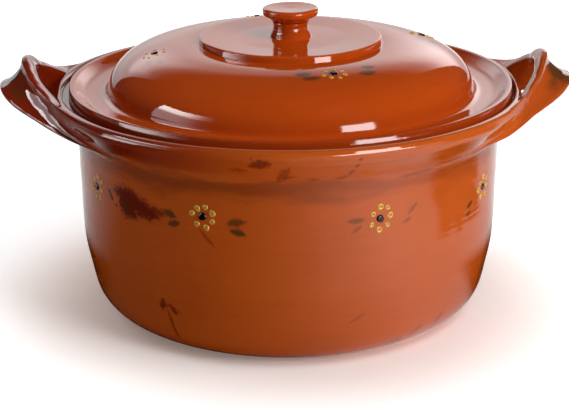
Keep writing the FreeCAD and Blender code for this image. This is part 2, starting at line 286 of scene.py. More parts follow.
class Bench:
    """Lays nodes down in one node tree and joins them."""

    def __init__(self, tree):
        self.tree = tree

    def node(self, kind, **settings):
        """One node with its settings."""
        made = self.tree.nodes.new(kind)
        for key, value in settings.items():
            setattr(made, key, value)
        return made

    def join(self, value, socket):
        """Feeds a socket from another socket or sets it to a plain value."""
        if isinstance(value, bpy.types.NodeSocket):
            self.tree.links.new(value, socket)
        elif value is not None:
            socket.default_value = value

    def math(self, operation, *values):
        """Result of one operation on numbers."""
        made = self.node("ShaderNodeMath", operation=operation)
        for value, socket in zip(values, made.inputs):
            self.join(value, socket)
        return made.outputs[0]

    def times(self, first, *others):
        """Product of all values."""
        for other in others:
            first = self.math("MULTIPLY", first, other)
        return first

    def plus(self, first, *others):
        """Sum of all values."""
        for other in others:
            first = self.math("ADD", first, other)
        return first

    def split(self, place):
        """The X, Y and Z of a place."""
        made = self.node("ShaderNodeSeparateXYZ")
        self.join(place, made.inputs[0])
        return made.outputs

    def vector(self, operation, *values):
        """Result of one operation on vectors."""
        made = self.node("ShaderNodeVectorMath", operation=operation)
        for value, socket in zip(values, made.inputs):
            self.join(value, socket)
        return made.outputs["Value" if operation in ("DOT_PRODUCT", "LENGTH", "DISTANCE") else "Vector"]

    def stretch(self, place, scale):
        """A place scaled along X, Y and Z."""
        return self.vector("MULTIPLY", place, scale)

    def noise(self, place, scale, detail=2.0, roughness=0.5):
        """Cloudy value from 0 to 1."""
        made = self.node("ShaderNodeTexNoise")
        self.join(place, made.inputs["Vector"])
        made.inputs["Scale"].default_value = scale
        made.inputs["Detail"].default_value = detail
        made.inputs["Roughness"].default_value = roughness
        return made.outputs["Fac"]

    def wander(self, place, scale, detail, reach):
        """Cloudy value from minus half to plus half of its reach."""
        return self.times(self.math("SUBTRACT", self.noise(place, scale, detail, 0.6), 0.5), reach)

    def span(self, value, low, high, to_low=0.0, to_high=1.0):
        """Maps low..high to to_low..to_high with soft ends."""
        made = self.node("ShaderNodeMapRange", interpolation_type="SMOOTHSTEP")
        for item, name in ((value, "Value"), (low, "From Min"), (high, "From Max"), (to_low, "To Min"),
                           (to_high, "To Max")):
            self.join(item, made.inputs[name])
        return made.outputs["Result"]

    def blend(self, factor, first, second):
        """Runs from the first colour to the second."""
        made = self.node("ShaderNodeMix", data_type="RGBA")
        self.join(factor, made.inputs["Factor"])
        for value, name in ((first, "A"), (second, "B")):
            socket = [s for s in made.inputs if s.name == name and s.type == "RGBA"][0]
            self.join(value if isinstance(value, bpy.types.NodeSocket) else (*value, 1.0), socket)
        return [s for s in made.outputs if s.type == "RGBA"][0]

    def place(self, group, **inputs):
        """Places a shared effect and returns its outputs."""
        made = self.node("ShaderNodeGroup", node_tree=group)
        for name, value in inputs.items():
            self.join(value, made.inputs[name.replace("_", " ").capitalize()])
        return made.outputs


def shared(name, inputs, outputs):
    """Empty shared effect: returns its tree, its bench, its input and its output node."""
    tree = bpy.data.node_groups.new(name, "ShaderNodeTree")
    for title, kind, value in inputs:
        socket = tree.interface.new_socket(name=title, in_out="INPUT", socket_type=kind)
        if value is not None:
            socket.default_value = value
    for title, kind in outputs:
        tree.interface.new_socket(name=title, in_out="OUTPUT", socket_type=kind)
    bench = Bench(tree)
    return tree, bench, bench.node("NodeGroupInput"), bench.node("NodeGroupOutput")


FLOAT, VECTOR, COLOUR = "NodeSocketFloat", "NodeSocketVector", "NodeSocketColor"


def brush_mark_effect():
    """One pointed brush mark on a turned surface."""
    tree, b, given, out = shared(
        "brush_mark",
        [("Place", VECTOR, None), ("Across", VECTOR, (1, 0, 0)), ("Facing", VECTOR, (0, 1, 0)),
         ("Height", FLOAT, 0.0), ("Half length", FLOAT, 5.0), ("Half width", FLOAT, 2.0),
         ("Tilt", FLOAT, 0.0), ("Strength", FLOAT, 1.0), ("Ragged", FLOAT, 0.5)],
        [("Mask", FLOAT)])
    g = given.outputs
    along = b.vector("DOT_PRODUCT", g["Place"], g["Across"])
    facing = b.math("GREATER_THAN", b.vector("DOT_PRODUCT", g["Place"], g["Facing"]), 0.0)
    up = b.math("SUBTRACT", b.split(g["Place"])["Z"], g["Height"])
    cosine = b.math("COSINE", g["Tilt"])
    sine = b.math("SINE", g["Tilt"])
    long_way = b.plus(b.times(along, cosine), b.times(up, sine))
    cross_way = b.math("SUBTRACT", b.times(up, cosine), b.times(along, sine))
    share = b.math("DIVIDE", long_way, g["Half length"])
    width = b.math("ABSOLUTE", b.math("DIVIDE", cross_way, g["Half width"]))
    inside = b.math("SUBTRACT", b.math("SUBTRACT", 1.0, b.times(share, share)), width)
    inside = b.plus(inside, b.times(b.wander(g["Place"], 0.45, 3.0, 2.0), g["Ragged"]))
    mask = b.times(b.span(inside, -0.2, 0.6), facing)
    b.join(b.times(mask, g["Strength"]), out.inputs["Mask"])
    return tree


def soft_patch_effect():
    """Round, cloudy patch about a point."""
    tree, b, given, out = shared(
        "soft_patch",
        [("Place", VECTOR, None), ("Middle", VECTOR, (0, 0, 0)), ("Spread", VECTOR, (10, 10, 10))],
        [("Mask", FLOAT)])
    g = given.outputs
    off = b.vector("DIVIDE", b.vector("SUBTRACT", g["Place"], g["Middle"]), g["Spread"])
    far = b.vector("LENGTH", off)
    b.join(b.span(b.plus(far, b.wander(g["Place"], 0.16, 4.0, 1.1)), 1.15, 0.45), out.inputs["Mask"])
    return tree


def glazed_clay_effect():
    """Colour of red clay seen through a clear glaze, and how smooth the glaze has run."""
    tree, b, given, out = shared(
        "glazed_clay",
        [("Place", VECTOR, None), ("Clay", COLOUR, (0.5, 0.08, 0.01, 1)),
         ("Deep clay", COLOUR, (0.3, 0.05, 0.01, 1)), ("Cloud", FLOAT, 0.5)],
        [("Colour", COLOUR), ("Roughness", FLOAT)])
    g = given.outputs
    cloud = b.noise(b.stretch(g["Place"], (1, 1, 1.6)), 0.012, 4.0, 0.55)
    streak = b.noise(b.stretch(g["Place"], (0.02, 0.02, 0.32)), 1.0, 3.0, 0.6)
    thick = b.plus(b.times(b.span(cloud, 0.35, 0.7), 0.7), b.times(b.span(streak, 0.4, 0.75), 0.35))
    colour = b.blend(b.times(thick, g["Cloud"]), g["Clay"], g["Deep clay"])
    # iron specks burnt into the glaze
    speck = b.node("ShaderNodeTexVoronoi", feature="F1")
    b.join(g["Place"], speck.inputs["Vector"])
    speck.inputs["Scale"].default_value = 0.16
    dots = b.span(speck.outputs["Distance"], 0.085, 0.03)
    sparse = b.math("GREATER_THAN", b.noise(g["Place"], 0.05, 1.0), 0.56)
    colour = b.blend(b.times(dots, sparse, 0.55), colour, SPECK)
    b.join(colour, out.inputs["Colour"])
    b.join(b.span(b.noise(g["Place"], 0.05, 3.0), 0.3, 0.75, 0.03, 0.07), out.inputs["Roughness"])
    return tree


def throwing_rings_effect():
    """Height in millimetres of the rings left by the thrower's fingers and of the glaze's fine pits."""
    tree, b, given, out = shared(
        "throwing_rings",
        [("Place", VECTOR, None), ("Rings", FLOAT, 0.05), ("Dimples", FLOAT, 0.03), ("Pits", FLOAT, 0.004)],
        [("Height", FLOAT)])
    g = given.outputs
    rings = b.noise(b.stretch(g["Place"], (0.006, 0.006, 0.16)), 1.0, 2.5, 0.55)
    dimples = b.noise(g["Place"], 0.055, 2.0, 0.5)
    pits = b.noise(b.stretch(g["Place"], (0.5, 0.5, 1.0)), 0.9, 2.0, 0.6)
    height = b.plus(b.times(rings, g["Rings"]), b.times(dimples, g["Dimples"]), b.times(pits, g["Pits"]))
    b.join(height, out.inputs["Height"])
    return tree


def effect(name):
    """A shared effect, made on its first use."""
    makers = {"brush_mark": brush_mark_effect, "soft_patch": soft_patch_effect,
              "glazed_clay": glazed_clay_effect, "throwing_rings": throwing_rings_effect}
    return bpy.data.node_groups.get(name) or makers[name]()


def cleared(owner):
    """Empties the node tree of a material or a world and returns its bench."""
    owner.use_nodes = True
    owner.node_tree.nodes.clear()
    return Bench(owner.node_tree)


def new_glaze(name):
    """Glazed material with a Principled shader; returns it, its bench and the shader."""
    material = bpy.data.materials.new(name)
    bench = cleared(material)
    shader = bench.node("ShaderNodeBsdfPrincipled")
    shader.inputs["IOR"].default_value = GLAZE_IOR
    out = bench.node("ShaderNodeOutputMaterial")
    bench.join(shader.outputs[0], out.inputs["Surface"])
    return material, bench, shader


def place_in_mm(bench):
    """Object space in millimetres."""
    where = bench.node("ShaderNodeTexCoord")
    return bench.stretch(where.outputs["Object"], (1 / MM, 1 / MM, 1 / MM))


def add_marks(bench, place, marks, ragged):
    """The strongest of many brush marks at each point."""
    total = None
    for degrees, height, half_length, half_width, tilt, strength in marks:
        turn = from_camera(degrees)
        mask = bench.place(
            effect("brush_mark"), place=place, across=(-math.sin(turn), math.cos(turn), 0),
            facing=(math.cos(turn), math.sin(turn), 0), height=height, half_length=half_length,
            half_width=half_width, tilt=math.radians(tilt), strength=strength, ragged=ragged)["Mask"]
        total = mask if total is None else bench.math("MAXIMUM", total, mask)
    return total


def relief(bench, shader, place, rings, dimples, pits, lumps=None):
    """Feeds the shader's normal with throwing rings, soft dimples, pits and any lumps."""
    height = bench.place(effect("throwing_rings"), place=place, rings=rings, dimples=dimples, pits=pits)["Height"]
    if lumps is not None:
        height = bench.plus(height, lumps)
    bump = bench.node("ShaderNodeBump")
    bump.inputs["Strength"].default_value = 1.0
    bump.inputs["Distance"].default_value = MM
    bench.join(height, bump.inputs["Height"])
    bench.join(bump.outputs[0], shader.inputs["Normal"])


def pot_glaze(colours):
    """Clear glaze over the pot's red clay, with its leaves, finger dabs and brushed handles, and painted shade and
    reflection on its crease, flare and wall.
    """
    material, b, shader = new_glaze("pot_glaze")
    place = place_in_mm(b)
    base = b.place(effect("glazed_clay"), place=place, clay=(*colours.clay, 1), deep_clay=(*colours.clay_deep, 1),
                   cloud=0.45)
    patches = None
    for degrees, radius, height, half_length, half_width in HANDLE_PATCHES:
        turn = from_camera(degrees)
        patch = b.place(effect("soft_patch"), place=place,
                        middle=(radius * math.cos(turn), radius * math.sin(turn), height),
                        spread=(half_width, half_length, half_length))["Mask"]
        patches = patch if patches is None else b.math("MAXIMUM", patches, patch)
    at = b.split(place)
    ring = b.vector("LENGTH", b.stretch(place, (1, 1, 0)))
    on_rim = b.times(b.span(b.plus(at["Z"], b.wander(place, 0.05, 4.0, 8.0)), 122, 136), b.span(ring, 141, 147))
    # painted shade: the flare and the left handle take the dark rim clay more and more towards the left, away from
    # the lamps, and the right handle nearly a third of it
    left_shade = b.math("MAXIMUM", b.span(at["X"], 0, -110), b.span(ring, 156, 160, 0.0, 0.3))
    rim_and_left_shade = b.blend(b.times(on_rim, left_shade), base["Colour"], colours.rim_clay)
    colour = b.blend(b.times(patches, 0.85), rim_and_left_shade, colours.olive)
    # painted shade: a darker, streaky band in the crease under the flare's overhang, stronger towards the left
    level = b.plus(at["Z"], b.wander(b.stretch(place, (0.25, 0.25, 1)), 0.09, 4.0, 22.0))
    crease_shade = b.times(b.span(level, 110, 119), b.span(level, 130, 124), b.span(ring, 137, 139),
                   b.span(at["X"], 90, -60, 0.35, 0.6))
    colour = b.blend(crease_shade, colour, CREASE_SHADE_BROWN)
    # painted reflection of the left handle on the wall, together with the real scrapes and runs
    colour = b.blend(add_marks(b, place, RED_SCRAPES_AND_HANDLE_REFLECTION, 0.85), colour, tuple(0.62 * c for c in colours.rim_clay))
    colour = b.blend(add_marks(b, place, BODY_LEAVES, 0.6), colour, colours.olive)
    colour = b.blend(add_marks(b, place, FINGER_DABS + BURNT_SPOTS, 0.6), colour, DAB_BLACK)
    b.join(colour, shader.inputs["Base Color"])
    b.join(base["Roughness"], shader.inputs["Roughness"])
    # the handles were squeezed by hand and their glaze is lumpy; the crease has fine ridges
    lumps = b.times(b.noise(place, 0.075, 1.0, 0.4), 1.6, b.span(ring, 154, 162))
    in_crease = b.times(b.span(at["Z"], 112, 120), b.span(at["Z"], 132, 125))
    ridges = b.times(b.noise(b.stretch(place, (0.03, 0.03, 0.9)), 1.0), 0.12, in_crease)
    relief(b, shader, place, 0.16, 0.06, 0.012, b.plus(lumps, ridges))
    return material


def lid_glaze(colours):
    """The same glaze on the lid, with the leaves round its flowers."""
    material, b, shader = new_glaze("lid_glaze")
    place = place_in_mm(b)
    base = b.place(effect("glazed_clay"), place=place, clay=(*colours.lid_clay, 1),
                   deep_clay=(0.75 * colours.lid_clay[0], 0.65 * colours.lid_clay[1], 0.5 * colours.lid_clay[2], 1),
                   cloud=0.35)
    at = b.split(place)
    radius = b.vector("LENGTH", b.stretch(place, (1, 1, 0)))
    flat = b.node("ShaderNodeCombineXYZ")       # the lid's marks take the radius for their height
    for value, name in ((at["X"], "X"), (at["Y"], "Y"), (radius, "Z")):
        b.join(value, flat.inputs[name])
    outside = b.math("GREATER_THAN", at["Z"], LID_CEILING_Z + 0.6)
    leaves = b.times(add_marks(b, flat.outputs[0], LID_LEAVES, 0.3), outside)
    edge = b.times(b.span(radius, 140, 144), 0.5)
    colour = b.blend(leaves, b.blend(edge, base["Colour"], colours.rim_clay), colours.olive)
    b.join(colour, shader.inputs["Base Color"])
    b.join(base["Roughness"], shader.inputs["Roughness"])
    relief(b, shader, place, 0.05, 0.06, 0.012)
    return material


def slip_glaze(name, colour, depth):
    """A dot of coloured slip under the glaze, a little uneven."""
    material, b, shader = new_glaze(name)
    place = place_in_mm(b)
    uneven = b.span(b.noise(place, 0.8, 3.0, 0.6), 0.3, 0.75)
    b.join(b.blend(b.times(uneven, depth), colour, [c * 0.55 for c in colour]), shader.inputs["Base Color"])
    b.join(b.span(b.noise(place, 0.5, 2.0), 0.3, 0.7, 0.07, 0.14), shader.inputs["Roughness"])
    relief(b, shader, place, 0.0, 0.02, 0.01)
    return material


# ---------------------------------------------------------------- shapes

def polar(radius, turn, height):
    """Point at a radius and a turn about the pot's axis."""
    return np.array([radius * math.cos(turn), radius * math.sin(turn), height])


def mesh_object(name, points, faces, materials, smooth=True):
    """Mesh object from points in millimetres."""
    mesh = bpy.data.meshes.new(name)
    mesh.from_pydata([tuple(p) for p in np.asarray(points) * MM], [], faces)
    mesh.validate()
    made = bpy.data.objects.new(name, mesh)
    bpy.context.scene.collection.objects.link(made)
    for material in materials:
        mesh.materials.append(material)
    for face in mesh.polygons:
        face.use_smooth = smooth
    return made


def column_turns(steps, right, left):
    """Turns of the columns, in degrees, from the right handle's middle round by the back."""
    back = (left - right) / 2
    front = 180 - back

    def spread(step, quarter):
        """Columns far from a handle share out what its quarter is short of or beyond 90 degrees."""
        return step if step <= EVEN_TO else EVEN_TO + (step - EVEN_TO) * (quarter - EVEN_TO) / (90 - EVEN_TO)

    turns = []
    for k in range(COLUMNS):
        if k <= QUARTER:
            turns.append(right + spread(steps[k], back))
        elif k <= HALF:
            turns.append(left - spread(steps[HALF - k], back))
        elif k <= HALF + QUARTER:
            turns.append(left + spread(steps[k - HALF], front))
        else:
            turns.append(right + 360 - spread(steps[COLUMNS - k], front))
    return np.array(turns)


def strap_loop(top, low, along, share, thickness, channel):
    """Points across a strap: thick rolled edges with a thumb channel between them."""
    middle = (top + low) / 2
    across = low - top
    half = np.linalg.norm(across) / 2
    across = across / (2 * half)
    outward = np.cross(across, along)
    outward /= np.linalg.norm(outward)
    full = thickness / 2 * (0.7 + 0.3 * math.sqrt(share))
    dip = channel * share ** 1.6
    face = [(-0.80, 1.12 * full), (-0.62, 1.04 * full - 0.35 * dip), (-0.38, full - 0.8 * dip), (-0.12, full - dip),
            (0.13, full - dip), (0.38, full - 0.8 * dip), (0.60, full - 0.35 * dip), (0.80, full)]
    roll = [(0.93, 0.72 * full), (0.985, 0), (0.93, -0.72 * full)]
    back = [(s, -full * (0.96 if abs(s) > 0.7 else 1)) for s, _ in reversed(face)]
    upper = [(-0.97, -0.72 * full), (-1.02, 0.05 * full), (-0.97, 0.82 * full)]
    return [middle + across * half * s + outward * n for s, n in face + roll + back + upper]


def settle(points, quads, held, rounds=9):
    """Moves cage points so that the subdivided surface runs through where they were."""
    aims = points.copy()
    quads = np.array(quads)
    count = np.zeros(len(points))
    for corner in range(4):
        np.add.at(count, quads[:, corner], 1)
    free = (count >= 3) & ~held
    n = np.maximum(count, 3)[:, None]
    for _ in range(rounds):
        edges = np.zeros_like(points)
        faces = np.zeros_like(points)
        for corner in range(4):
            here = quads[:, corner]
            np.add.at(edges, here, 0.5 * (points[quads[:, (corner + 1) % 4]] + points[quads[:, (corner + 3) % 4]]))
            np.add.at(faces, here, points[quads[:, (corner + 2) % 4]])
        limit = (n * n * points + 4 * edges + faces) / (n * (n + 5))
        points[free] += 0.9 * (aims - limit)[free]
    return points


def pot_cage(sizes):
    """Coarse cage of the pot with both handles growing out of the flare."""
    rows = FOOT_ROWS + WALL_ROWS + FLARE_ROWS + LIP_ROWS + INSIDE_ROWS
    low_row = len(FOOT_ROWS) + len(WALL_ROWS) + 1
    high_row = low_row + LEG_ROWS
    right, left = math.degrees(sizes.right_handle), math.degrees(sizes.left_handle)
    at_lip = column_turns(LIP_STEPS, right, left)
    at_crease = column_turns(CREASE_STEPS, right, left)
    dent = sizes.lip_dent / MM
    dented = {high_row - 5 + i: share for i, share in enumerate(DENT_ROWS)}
    across = dict(enumerate(DENT_COLUMNS))
    points = []
    for i, (radius, height) in enumerate(rows):
        share = min(max((high_row - i) / LEG_ROWS, 0), 1)
        turns = np.radians(at_lip + (at_crease - at_lip) * share)
        for k in range(COLUMNS):
            near = min(k % HALF, HALF - k % HALF)
            pressed = dent * dented.get(i, 0) * across.get(near, 0)
            points.append(polar(radius - pressed, turns[k], height))

    def at(row, column):
        return row * COLUMNS + column % COLUMNS

    first, last = LEG_COLUMNS
    quads = []
    for i in range(len(rows) - 1):
        for k in range(COLUMNS):
            near = (k % HALF) if k % HALF < QUARTER else HALF - 1 - k % HALF
            if low_row <= i < high_row and first <= near < last:
                continue
            quads.append((at(i, k), at(i, k + 1), at(i + 1, k + 1), at(i + 1, k)))

    loops_in_strap = 2 * len(STRAP_TOPS) - 1
    held = np.zeros(len(points) + 2 * loops_in_strap * LOOP + 2, bool)
    for centre, turn in ((0, sizes.right_handle), (HALF, sizes.left_handle)):
        tops, lows = [], []
        for side in (-1, 1):
            order = range(len(STRAP_TOPS) - 1, 0, -1) if side < 0 else range(len(STRAP_TOPS))
            for j in order:
                r, a, z = STRAP_TOPS[j]
                tops.append(polar(r, turn + side * math.radians(a), z))
                r, a, z = STRAP_LOWS[j]
                far_side = math.sin(turn + side * math.radians(a)) > 0.05
                lows.append(polar(r, turn + side * math.radians(a), z - FAR_LOWER[j] * far_side))
        rims = {}
        for side in (-1, 1):
            far, near = centre + side * last, centre + side * first
            rim = [at(row, far) for row in range(high_row, low_row - 1, -1)]
            rim += [at(low_row, centre + side * step) for step in range(last - 1, first, -1)]
            rim += [at(row, near) for row in range(low_row, high_row + 1)]
            rim += [at(high_row, centre + side * step) for step in range(first + 1, last)]
            rims[side] = rim
            held[rim] = True
        middles = [(a + b) / 2 for a, b in zip(tops, lows)]
        ends = {side: np.mean([points[v] for v in rims[side]], axis=0) for side in rims}
        path = [ends[-1]] + middles + [ends[1]]
        loops = [rims[-1]]
        count = len(tops)
        for j in range(count):
            share = 1 - abs(2 * j / (count - 1) - 1) * 4 / 6
            loop = strap_loop(tops[j], lows[j], path[j + 2] - path[j], share,
                              sizes.strap_thickness / MM, sizes.channel / MM)
            loops.append(list(range(len(points), len(points) + LOOP)))
            points.extend(loop)
        # the faces of the legs run out flush into the flare, with a soft hollow before it
        for near_leg, before, rim in ((loops[1], loops[2], rims[-1]), (loops[count], loops[count - 1], rims[1])):
            for m in range(LEG_FACE):
                flush = 0.6 * points[before[m]] + 0.4 * points[rim[m]]
                points[near_leg[m]] = 0.2 * points[near_leg[m]] + 0.8 * flush
                held[near_leg[m]] = True
        loops.append(rims[1])
        for here, there in zip(loops, loops[1:]):
            for m in range(LOOP):
                n = (m + 1) % LOOP
                quads.append((here[m], there[m], there[n], here[n]))

    bottom = len(points)
    points.append(np.array([0, 0, BASE_Z[0]]))
    points.append(np.array([0, 0, BASE_Z[1]]))
    top_row = len(rows) - 1
    fans = [(bottom, at(0, k + 1), at(0, k)) for k in range(COLUMNS)]
    fans += [(bottom + 1, at(top_row, k), at(top_row, k + 1)) for k in range(COLUMNS)]
    held[:COLUMNS] = True
    held[top_row * COLUMNS:(top_row + 1) * COLUMNS] = True
    return settle(np.array(points, float), quads, held), quads + fans


def faced_outwards(made):
    """Turns all faces of a closed mesh outwards."""
    shape = bmesh.new()
    shape.from_mesh(made.data)
    bmesh.ops.recalc_face_normals(shape, faces=shape.faces)
    if shape.calc_volume(signed=True) < 0:
        bmesh.ops.reverse_faces(shape, faces=shape.faces)
    shape.to_mesh(made.data)
    shape.free()


def subdivided(made, levels):
    """Applies a subdivision surface."""
    modifier = made.modifiers.new("rounding", "SUBSURF")
    modifier.levels = levels
    modifier.render_levels = levels
    modifier.boundary_smooth = "ALL"
    bpy.context.view_layer.update()
    ready = made.evaluated_get(bpy.context.evaluated_depsgraph_get())
    mesh = bpy.data.meshes.new_from_object(ready)
    made.modifiers.clear()
    old = made.data
    made.data = mesh
    bpy.data.meshes.remove(old)
    for face in mesh.polygons:
        face.use_smooth = True


def moved(made, change):
    """Moves a mesh's points, given and returned in millimetres."""
    mesh = made.data
    flat = np.empty(len(mesh.vertices) * 3)
    mesh.vertices.foreach_get("co", flat)
    points = change(flat.reshape(-1, 3) / MM)
    mesh.vertices.foreach_set("co", (points * MM).ravel())
    mesh.update()


def pot_waver(amount):
    """Hand-made waver of the wall and the lip; the foot and the ledge stay true."""
    def change(points):
        radius = np.hypot(points[:, 0], points[:, 1])
        turn = np.arctan2(points[:, 1], points[:, 0])
        height = points[:, 2]
        outer = np.clip((radius - 134.5) / 3, 0, 1)
        wall = np.clip((height - 12) / 40, 0, 1) * np.clip((150 - height) / 22, 0.35, 1) * outer
        wave = (np.sin(2 * turn + 0.7) + 0.7 * np.sin(3 * turn - 1.1 + height * 0.012)
                + 0.35 * np.sin(5 * turn + 2.0 + height * 0.03) + 0.3 * np.sin(height * 0.21 + 2 * np.sin(turn)))
        strap = np.clip((radius - 154) / 12, 0, 1) * (points[:, 0] > 0)
        closer = strap * (1.5 + 2.5 * np.clip((height - 140) / 28, 0, 1))
        lip = np.clip((height - 138) / 8, 0, 1) * np.clip((radius - 147.5) / 3, 0, 1)
        up = np.sin(2 * turn + 2.2) + 0.8 * np.sin(3 * turn + 0.4) + 0.5 * np.sin(7 * turn + 1.3)
        scale = 1 + (amount * wall * wave * 0.5 - closer) / np.maximum(radius, 1)
        moved_points = points.copy()
        moved_points[:, 0] *= scale
        moved_points[:, 1] *= scale
        moved_points[:, 2] += amount * 0.5 * lip * (up - 1.0) + 2.5 * strap * np.clip((165 - height) / 15, 0, 1)
        return moved_points
    return change


def rounded_outline(corners, step=2.6):
    """Points along an outline whose (r, z, rounding) corners are rounded between its two ends."""
    points = [np.array(corners[0][:2], float)]

    def run_to(end):
        start = points[-1]
        count = max(1, int(np.linalg.norm(end - start) / step))
        points.extend(start + (end - start) * (i + 1) / count for i in range(count))

    for before, here, after in zip(corners, corners[1:], corners[2:]):
        corner = np.array(here[:2], float)
        back = np.array(before[:2]) - corner
        back /= np.linalg.norm(back)
        ahead = np.array(after[:2]) - corner
        ahead /= np.linalg.norm(ahead)
        half = math.acos(np.clip(back @ ahead, -1, 1)) / 2
        reach = here[2] / math.tan(half)
        start, end = corner + back * reach, corner + ahead * reach
        if np.linalg.norm(start - points[-1]) > 0.05:
            run_to(start)
        away = back + ahead
        middle = corner + away / np.linalg.norm(away) * here[2] / math.sin(half)
        angle = math.pi - 2 * half
        count = max(3, int(angle / math.radians(11)))
        for i in range(count):
            share = (i + 1) / count
            first = math.sin((1 - share) * angle) / math.sin(angle)
            second = math.sin(share * angle) / math.sin(angle)
            points.append(middle + (start - middle) * first + (end - middle) * second)
    run_to(np.array(corners[-1][:2], float))
    return points


def curved_outline(poles, count):
    """Points along the smooth curve that the poles lead."""
    poles = np.array(poles, float)
    order = len(poles) - 1
    points = []
    for i in range(count + 1):
        t = i / count
        points.append(sum(math.comb(order, k) * t ** k * (1 - t) ** (order - k) * poles[k]
                          for k in range(order + 1)))
    return points


def lid_outline():
    """Whole outline of the lid from the middle of its ceiling out and over to the knob's top."""
    ceiling = [np.array((r, LID_CEILING_Z), float) for r in (8, 16, 24, 32, 40)]
    inside = curved_outline(LID_INSIDE, 16)[::-1]
    below = rounded_outline(LID_BELOW)[::-1]
    path = ceiling + inside + below[1:]
    for part in (rounded_outline(LID_EDGE, 1.8), curved_outline(LID_FILLET, 6), curved_outline(LID_DOME, 34),
                 rounded_outline(LID_KNOB)):
        path += part[1:]
    return path[:-1], path[-1]


def turned_lid(name, material):
    """The lid turned about Z."""
    path, tip = lid_outline()
    columns = LID_COLUMNS
    turns = np.linspace(0, 2 * math.pi, columns, endpoint=False)
    points = [polar(r, a, z) for r, z in path for a in turns]
    faces = []
    for i in range(len(path) - 1):
        for k in range(columns):
            n = (k + 1) % columns
            faces.append((i * columns + k, (i + 1) * columns + k, (i + 1) * columns + n, i * columns + n))
    inner, outer = len(points), len(points) + 1
    points += [np.array((0, 0, LID_CEILING_Z)), np.array((0, 0, tip[1]))]
    last = (len(path) - 1) * columns
    for k in range(columns):
        n = (k + 1) % columns
        faces.append((inner, k, n))
        faces.append((outer, last + n, last + k))
    made = mesh_object(name, points, faces, [material])
    faced_outwards(made)
    return made


def lid_waver(aside, amount):
    """Puts the lid a little aside and wavers its edge, dome, disc and knob."""
    def change(points):
        radius = np.hypot(points[:, 0], points[:, 1])
        turn = np.arctan2(points[:, 1], points[:, 0])
        edge = np.clip((radius - 128) / 12, 0, 1) * np.clip((points[:, 2] - 147) / 4, 0, 1)
        top = np.clip((points[:, 2] - 150) / 20, 0, 1)
        up = edge * (np.sin(2 * turn + 1) + 0.7 * np.sin(5 * turn)) - edge * 0.6
        up += top * 0.8 * np.sin(2 * turn + 0.3 + radius * 0.02) * np.clip(radius / 50, 0, 1)
        knob = np.clip((points[:, 2] - 183) / 8, 0, 1) * (radius < 30)
        out = 1 + amount * (0.6 * np.sin(3 * turn + 0.5) * top * np.clip(radius / 60, 0, 1)
                            + 0.9 * knob * np.sin(2 * turn)) / np.maximum(radius, 6)
        shift = polar(1, TURN, 0)
        changed = points.copy()
        changed[:, 0] *= out
        changed[:, 1] *= out
        changed[:, 2] += amount * up
        return changed + shift * aside
    return change


def surface_tree(made):
    """Search tree for where a line meets a piece."""
    mesh = made.data
    return BVHTree.FromPolygons([v.co.copy() for v in mesh.vertices], [tuple(p.vertices) for p in mesh.polygons])


def laid_dots(name, spots, radius, rise, materials, dimple):
    """Low rounded dots lying on a surface at (point, normal) spots, all in one piece."""
    points, faces, kinds = [], [], []
    around = 14
    rings = [(1.0, -0.12), (0.93, 0.42), (0.76, 0.84), (0.56, 1.0), (0.34, 0.92 - 0.5 * dimple),
             (0.15, 0.95 - 0.75 * dimple)]
    for index, (point, normal, size) in enumerate(spots):
        side = normal.orthogonal().normalized()
        other = normal.cross(side)
        start = len(points)
        squash = 1 + 0.08 * math.sin(index * 2.3)
        for share, height in rings:
            for k in range(around):
                turn = 2 * math.pi * k / around
                r = radius * size * share * (1 + 0.05 * math.sin(3 * turn + index * 1.7))
                spot = point + side * (r * math.cos(turn) * squash) + other * (r * math.sin(turn) / squash)
                points.append(spot + normal * (rise * size * height))
        points.append(point + normal * (rise * size * (0.95 - 0.8 * dimple)))
        for i in range(len(rings) - 1):
            for k in range(around):
                n = (k + 1) % around
                faces.append((start + i * around + k, start + i * around + n,
                              start + (i + 1) * around + n, start + (i + 1) * around + k))
                kinds.append(1 if dimple and i >= 3 else 0)
        tip = len(points) - 1
        foot = start + (len(rings) - 1) * around
        for k in range(around):
            faces.append((foot + k, foot + (k + 1) % around, tip))
            kinds.append(1 if dimple else 0)
    made = mesh_object(name, [tuple(p) for p in points], faces, materials)
    for face, kind in zip(made.data.polygons, kinds):
        face.material_index = min(kind, len(materials) - 1)
    return made


# ---------------------------------------------------------------- operators

class POT_OT_body(bpy.types.Operator):
    """Make the thrown pot with its flared rim and both strap handles"""
    bl_idname = "stewing_pot.body"
    bl_label = "Pot with handles"

    def execute(self, context):
        sizes = context.scene.pot_sizes
        points, faces = pot_cage(sizes)
        made = mesh_object("thrown_pot", points, faces, [pot_glaze(context.scene.pot_colours)])
        faced_outwards(made)
        subdivided(made, 2)
        moved(made, pot_waver(sizes.waver / MM))
        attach(made, BODY)
        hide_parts("pot")
        return {"FINISHED"}


class POT_OT_lid(bpy.types.Operator):
    """Make the domed lid with its flange, disc and knob"""
    bl_idname = "stewing_pot.lid"
    bl_label = "Lid"

    def execute(self, context):
        sizes = context.scene.lid_sizes
        made = turned_lid("domed_lid", lid_glaze(context.scene.pot_colours))
        moved(made, lid_waver(sizes.aside / MM, sizes.waver / MM))
        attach(made, BODY)
        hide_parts("lid")
        return {"FINISHED"}


